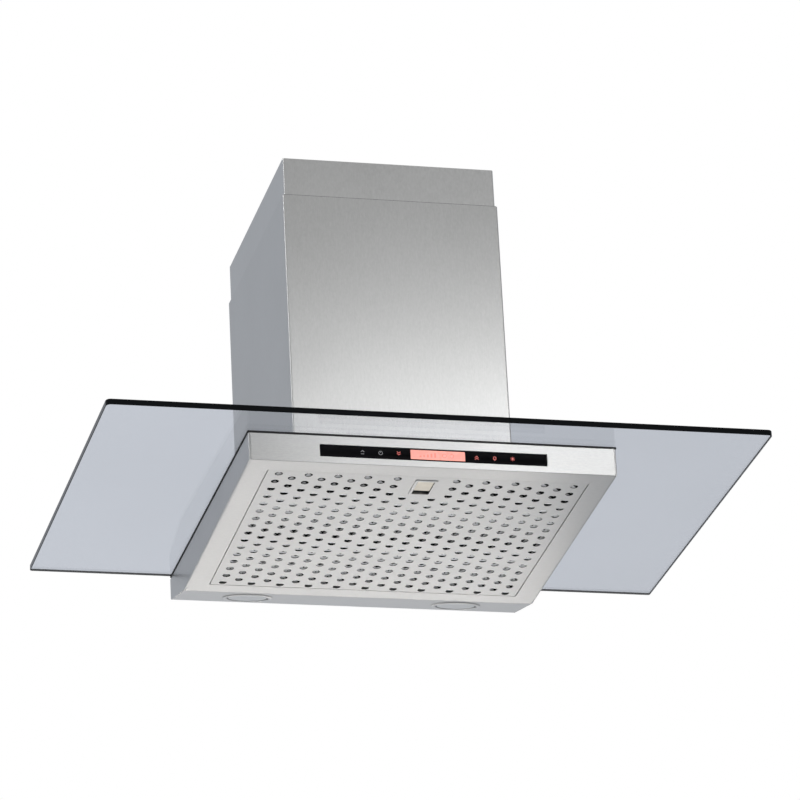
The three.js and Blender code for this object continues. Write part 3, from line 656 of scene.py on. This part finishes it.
# ---- lamps ---------------------------------------------------------------------------------------
def make_lamps():
    """A turned trim ring, a domed lens and, for each lamp, two black patches on the ring that paint the
    shade of its release notches.
    """
    r, lens = LAMP["r"], LAMP["lens"]
    notch_in, notch_w, notch_d = 2.4, 1.9, 1.3
    for side, sx in (("left", -1), ("right", 1)):
        centre = (sx * LAMP["x"], LAMP["along"])
        low, high = local_box(f"lamp_ring_{side}", CHAMFER)
        face, back = low[2], high[2]
        gap = lens + 1.3
        ring = [(gap, face + 0.9), (gap + 0.4, face + 0.25), (gap + 0.9, face + 0.02),
                (r - 2.2, face + 0.12), (r - 1.2, face + 0.3), (r - 0.4, face + 0.75), (r, face + 1.35),
                (gap + 1.9, face + 1.4), (gap + 1.9, back), (gap, back)]
        lathe(f"lamp_bezel_{side}", ring, centre, CHAMFER, "hood", "side",
              [f"lamp_ring_{side}"])
        low, high = local_box(f"lamp_lens_{side}", CHAMFER)
        dome = [(0.01, high[2]), (lens, high[2]), (lens, low[2] + 0.5), (lens - 0.5, low[2] + 0.12),
                (lens - 1.6, low[2]), (lens * 0.6, low[2] - 0.25), (0.01, low[2] - 0.35)]
        lathe(f"lamp_glass_{side}", dome, centre, CHAMFER, "hood", "lens",
              [f"lamp_lens_{side}"])
        for end in (-1, 1):
            x, y = centre[0] + end * (lens + notch_in), centre[1]
            # a black patch where each release notch is: painted shade of the slot
            notch = rounded_rect(x - notch_w, x + notch_w, y - notch_d, y + notch_d, 0.6, 3)
            where = "outer" if end == sx else "inner"
            plate(f"lamp_notch_{side}_{where}", notch, face - 0.06, face + 0.3, CHAMFER, "hood",
                  "black_plastic", "black")


# ---- controls ------------------------------------------------------------------------------------
def make_controls():
    """The dark control strip, with its display and touch marks, which are kept out of reflections."""
    (x0, y0, z0), (x1, y1, z1) = box_mm("control_glass")
    axes = face_forward(y0)
    plate("control_strip", rounded_rect(x0, x1, z0, z1, 0.8, 4), y0 - y1, 0, axes, "hood", "black_glass",
          "black_glass", ["control_glass"], high=0.45, steps=4)
    mid = (z0 + z1) / 2
    proud = 0.06
    (dx0, _, dz0), (dx1, _, dz1) = box_mm("display_module")
    window = rounded_rect(dx0, dx1, dz0 + 0.4, dz1 - 0.4, 0.6, 4)
    plate("display_window", window, -0.4, proud, axes, "hood", "display", "display")
    make_display_marks(axes, dx0, mid)
    for name, x, finish, shapes in icons():
        place = Vector((x, mid))
        for i, (outline, holes) in enumerate(shapes):
            moved = [p + place for p in outline]
            cut = [[p + place for p in hole] for hole in holes]
            plate(f"icon_{name}_{i + 1}", moved, -0.1, proud, axes, "hood", "display", finish, holes=cut)
    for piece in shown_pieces():
        if piece.name.startswith(("display_", "icon_")):
            piece.visible_glossy = False
            piece.visible_transmission = False


def make_display_marks(axes, left, mid):
    """Five rising bars and two rings on the display."""
    base, proud = mid - 3.2, 0.1
    for i in range(5):
        x, h = left + 12 + i * 5, 2.0 + i * 1.1
        bar = rounded_rect(x, x + 2.6, base, base + h, 0.4, 2)
        plate(f"display_bar_{i + 1}", bar, 0.0, proud, axes, "hood", "display", "display_mark")
    for i, x in enumerate((left + 46, left + 56)):
        plate(f"display_ring_{i + 1}", circle(x, mid, 3.1, 28), 0.0, proud, axes, "hood", "display",
              "display_mark", holes=[circle(x, mid, 2.2, 28)])


def chevron(tip, height):
    """An arrow head that points up to tip, or down for a negative height."""
    reach, thick = 2.9, 1.3
    foot, notch, half = tip - height, tip - thick * height / reach, reach - thick
    return (points((-reach, foot), (0, tip), (reach, foot), (half, foot), (0, notch), (-half, foot)), [])


def icons():
    """Each touch mark: name, place along the strip, finish, and its shapes as (outline, holes)."""
    bell = arc(0, 0.2, 2.1, 0, 180, 12) + points((-2.1, -2.2), (2.1, -2.2))
    bell_inside = arc(0, 0.2, 1.3, 0, 180, 12) + points((-1.3, -1.4), (1.3, -1.4))
    clapper = rounded_rect(-0.8, 0.8, -3.4, -2.7, 0.3, 3)
    hand = points((-0.35, 0), (0.35, 0), (0.35, 1.6), (-0.35, 1.6))
    ring = (circle(0, 0, 2.9, 32), [circle(0, 0, 2.2, 32)])
    ray = points((-0.35, 2.1), (0.35, 2.1), (0.35, 3.1), (-0.35, 3.1))
    turns = [Matrix.Rotation(math.radians(45 * i), 2) for i in range(8)]
    rays = [([turn @ p for p in ray], []) for turn in turns]
    base = (rounded_rect(-2.2, 2.2, -2.8, -2.0, 0.3, 3), [])
    return [
        ("fan", -97, "icon_grey", [chevron(2.9, 2.6), base]),
        ("timer", -72.5, "icon_grey", [ring, (hand, [])]),
        ("less", -48, "icon_red", [chevron(-2.2, -2.6), chevron(0.4, -2.6)]),
        ("more", 58, "icon_red", [chevron(2.2, 2.6), chevron(-0.4, 2.6)]),
        ("alarm", 82.5, "icon_red", [(bell, [bell_inside]), (clapper, [])]),
        ("lamp", 107, "icon_red", [(circle(0, 0, 1.5, 28), []), *rays]),
    ]


# ---- chimney covers ------------------------------------------------------------------------------
def make_chimney(section, body):
    """A cover's front, folded round both sides, and its rear, folded forward at both ends."""
    front, rear = f"{section}_chimney_front", f"{section}_chimney_rear"
    (x0, y0, z0), (x1, y1, z1) = box_mm(front)
    r, t = CHIMNEY_BEND, CHIMNEY_SHEET["front"]
    outside = arc(x0 + r, y0 + r, r, 180, 270, 10) + arc(x1 - r, y0 + r, r, 270, 360, 10)
    inside = arc(x1 - r, y0 + r, r - t, 360, 270, 10) + arc(x0 + r, y0 + r, r - t, 270, 180, 10)
    outline = points((x0, y1)) + outside + points((x1, y1), (x1 - t, y1)) + inside + points((x0 + t, y1))
    # the upper cover takes the 5% lighter copy of the chimney steel: painted light
    finish = "upper_chimney" if section == "upper" else "chimney"
    plate(f"{section}_cover_front", outline, z0, z1, Matrix(), body, "brushed_steel", finish, [front],
          low=0.2, high=0.2, steps=2)
    (x0, y0, z0), (x1, y1, z1) = box_mm(rear)
    r, t = 1.6, CHIMNEY_SHEET["rear"]
    outside = arc(x1 - r, y1 - r, r, 0, 90, 8) + arc(x0 + r, y1 - r, r, 90, 180, 8)
    inside = arc(x0 + r, y1 - r, r - t, 180, 90, 8) + arc(x1 - r, y1 - r, r - t, 90, 0, 8)
    outline = points((x1, y0)) + outside + points((x0, y0), (x0 + t, y0)) + inside + points((x1 - t, y0))
    plate(f"{section}_cover_rear", outline, z0, z1, Matrix(), body, "brushed_steel", finish, [rear],
          low=0.15, high=0.15, steps=2)


def make_sliding_strip():
    """The felt that keeps the lower cover off the upper one; its lip shows along the joint."""
    (lx0, ly0, _), (lx1, _, lz1) = box_mm("lower_chimney_front")
    ly1 = box_mm("lower_chimney_rear")[1][1]
    (ux0, uy0, _), (ux1, _, _) = box_mm("upper_chimney_front")
    uy1 = box_mm("upper_chimney_rear")[1][1]
    sheet, play = 1.05, 0.25
    depth, lip = 4, 0.9
    corner = CHIMNEY_BEND - CHIMNEY_SHEET["front"]
    outline = rounded_rect(lx0 + sheet, lx1 - sheet, ly0 + sheet, ly1 - sheet, corner, 6)
    inside = rounded_rect(ux0 - play, ux1 + play, uy0 - play, uy1 + play, 0.4, 3)
    plate("sliding_felt", outline, lz1 - depth, lz1 + lip, Matrix(), "lower_cover", "seal_rubber",
          "felt", holes=[inside], high=0.1)


def face_backward(x, y, z):
    """Axes at a point of a vertical face that looks to the back, with z out of the face."""
    return Matrix.Translation((x * MM, y * MM, z * MM)) @ Matrix.Rotation(math.radians(-90), 4, "X")


def make_screws():
    """Fasteners on the back of the lower chimney cover and along the body's rear panel."""
    from_side, from_end = SCREW_INSET["side"], SCREW_INSET["end"]
    (x0, _, z0), (x1, y1, z1) = box_mm("lower_chimney_rear")
    for side, x in (("left", x0 + from_side), ("right", x1 - from_side)):
        for end, z in (("low", z0 + from_end), ("middle", (z0 + z1) / 2), ("high", z1 - from_end)):
            screw(f"screw_cover_{side}_{end}", face_backward(x, y1, z), "lower_cover")
    _, (_, y1, z1) = box_mm("rear_panel")
    for i, x in enumerate(REAR_SCREWS_X):
        screw(f"screw_rear_{i + 1}", face_backward(x, y1, z1 - from_side), "hood", r=2.8, height=1.6)


# ---- CAD nodes that stay, with their finishes ----------------------------------------------------
EDGE_BREAK = 0.25                         # width of the broken edges, in millimetres
EDGE_ANGLE = math.radians(50)             # edges sharper than this are broken
KEPT = {
    "zinc": ["ceiling_plate", "top_plate", "blower_box", "scroll_wrap", "scroll_side_left",
             "scroll_side_right", "outlet_collar", "motor_bracket", "upright_brace_front",
             "upright_brace_rear", "hinge_bracket_left", "hinge_bracket_right", "latch_bolt"],
    "shaft": ["hinge_pin_left", "hinge_pin_right", "damper_pin", "motor_shaft", "latch_spring"],
    "body": ["filter_frame"],
    "motor": ["fan_motor"],
    "brass": ["impeller_collar"],
    "black": ["impeller", "damper_flap_front", "damper_flap_rear", "lamp_housing_left",
              "lamp_housing_right", "run_capacitor", "junction_box", "cable_gland"],
    "board": ["control_board"],
    "display": ["display_module"],
}


def finish_kept_nodes():
    """Gives each CAD node that stays its finish and slightly broken edges."""
    uprights = [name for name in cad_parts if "_upright_" in name]
    for key, names in [*KEPT.items(), ("zinc", uprights)]:
        for name in names:
            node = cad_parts[name]
            for material_slot in node.material_slots:
                material_slot.link = "OBJECT"
                material_slot.material = FINISH[key]
            edges = node.modifiers.new("edges", "BEVEL")
            edges.width = EDGE_BREAK * MM
            edges.segments = 2
            edges.limit_method = "ANGLE"
            edges.angle_limit = EDGE_ANGLE
            weight_normals(node)


# ---- studio --------------------------------------------------------------------------------------
SKY_FRONT = (0.66, 0.66, 0.66, 1)
SKY_BACK = (0.74, 0.775, 0.835, 1)
# Each softbox: name, place and aim in metres, size in metres, power in watts, colour.
SOFTBOXES = (
    ("front_right", (0.50, -1.345, -0.08), (0.15, -0.30, -0.50), (0.9, 0.52), 4.0, (1, 1, 1)),
    ("below_back", (0.04, 0.80, -0.95), (-0.15, -0.15, -0.52), (0.9, 0.6), 1.7, (1, 0.955, 0.905)),
    ("far_left", (-2.7, -0.9, 0.8), (0, -0.2, -0.4), (0.8, 1.6), 14, (1, 1, 1)),
)


def make_world():
    """White to the camera. The sky that lights is cooler to the back, and dimmer right and high behind."""
    world = bpy.data.worlds.new("studio")
    bpy.context.scene.world = world
    world.use_nodes = True
    tree = world.node_tree
    tree.nodes.clear()
    direction = tree.nodes.new("ShaderNodeTexCoord")
    axes = tree.nodes.new("ShaderNodeSeparateXYZ")
    tree.links.new(direction.outputs["Generated"], axes.inputs["Vector"])
    tints = tree.nodes.new("ShaderNodeValToRGB")
    tints.color_ramp.elements[0].color = SKY_FRONT
    tints.color_ramp.elements[1].color = SKY_BACK
    tree.links.new(rescaled(tree, axes.outputs["Y"], (-0.5, 0.5)), tints.inputs["Fac"])
    left_to_right = rescaled(tree, axes.outputs["X"], (0.12, 0.36), (1.0, 0.84))
    up_and_back = combined(tree, "MULTIPLY", axes.outputs["Y"], axes.outputs["Z"])
    ceiling = rescaled(tree, up_and_back, (0.10, 0.30), (1.0, 0.79))
    sky = tree.nodes.new("ShaderNodeBackground")
    tree.links.new(tints.outputs["Color"], sky.inputs["Color"])
    tree.links.new(combined(tree, "MULTIPLY", left_to_right, ceiling), sky.inputs["Strength"])
    backdrop = tree.nodes.new("ShaderNodeBackground")
    backdrop.inputs["Color"].default_value = (1, 1, 1, 1)
    path = tree.nodes.new("ShaderNodeLightPath")
    mixed = tree.nodes.new("ShaderNodeMixShader")
    output = tree.nodes.new("ShaderNodeOutputWorld")
    tree.links.new(path.outputs["Is Camera Ray"], mixed.inputs["Fac"])
    tree.links.new(sky.outputs["Background"], mixed.inputs[1])
    tree.links.new(backdrop.outputs["Background"], mixed.inputs[2])
    tree.links.new(mixed.outputs["Shader"], output.inputs["Surface"])
    bpy.context.scene.view_settings.view_transform = "Standard"


def make_floor():
    """A pale floor far below the hood."""
    bm = bmesh.new()
    bmesh.ops.create_grid(bm, x_segments=8, y_segments=8, size=150)
    mesh = bpy.data.meshes.new("studio_floor")
    bm.to_mesh(mesh)
    bm.free()
    floor = bpy.data.objects.new("studio_floor", mesh)
    floor.location = (0, 0, FLOOR_Z)
    bpy.context.scene.collection.objects.link(floor)
    made, tree, shader = new_material("floor_paint", Roughness=0.7)
    tone = ramp(tree, noise(tree, 0.6), (0.93, 0.93, 0.93), (0.95, 0.95, 0.95))
    tree.links.new(tone, shader.inputs["Base Color"])
    mesh.materials.append(made)
    floor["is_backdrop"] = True


def soft_light(name, place, aim, size, power, colour, lit_pieces):
    """A softbox at place, turned to aim, that the camera doesn't see."""
    data = bpy.data.lights.new(name, "AREA")
    data.shape = "RECTANGLE"
    data.size, data.size_y = size
    data.energy = power
    data.color = colour
    lamp = bpy.data.objects.new(name, data)
    lamp.location = place
    lamp.rotation_euler = (Vector(aim) - Vector(place)).to_track_quat("-Z", "Y").to_euler()
    lamp.visible_camera = False
    data.cycles.use_multiple_importance_sampling = False
    lamp.light_linking.receiver_collection = lit_pieces
    lamp.light_linking.blocker_collection = lit_pieces
    bpy.context.scene.collection.objects.link(lamp)


def make_lights():
    """The softboxes light everything except the polished glass, which shows only the room."""
    lit_pieces = bpy.data.collections.new("lit_pieces")
    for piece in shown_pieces():
        if piece.name not in ("canopy_sheet", "control_strip"):
            lit_pieces.objects.link(piece)
    for softbox in SOFTBOXES:
        soft_light(*softbox, lit_pieces)


def make_camera():
    level = math.cos(CAMERA_ELEVATION)
    ahead = Vector((math.sin(CAMERA_AZIMUTH) * level, math.cos(CAMERA_AZIMUTH) * level,
                    math.sin(CAMERA_ELEVATION)))
    data = bpy.data.cameras.new("camera")
    data.sensor_width = 36
    data.lens = CAMERA_LENS
    data.clip_end = 500
    camera = bpy.data.objects.new("camera", data)
    camera.location = CAMERA_TARGET - ahead * CAMERA_DISTANCE
    upright = ahead.to_track_quat("-Z", "Y").to_matrix().to_4x4()
    camera.rotation_euler = (upright @ Matrix.Rotation(CAMERA_ROLL, 4, "Z")).to_euler()
    bpy.context.scene.collection.objects.link(camera)
    bpy.context.scene.camera = camera


make_camera()
make_world()
make_floor()
finish_kept_nodes()
make_canopy()
make_gasket()
for side, sign in (("left", -1), ("right", 1)):
    make_side(side, sign)
make_fascia()
make_rear_panel()
make_underside()
make_filter_panel()
make_filter_mesh()
make_latch()
make_lamps()
make_controls()
make_chimney("upper", "ceiling_frame")
make_chimney("lower", "lower_cover")
make_sliding_strip()
make_screws()
make_lights()
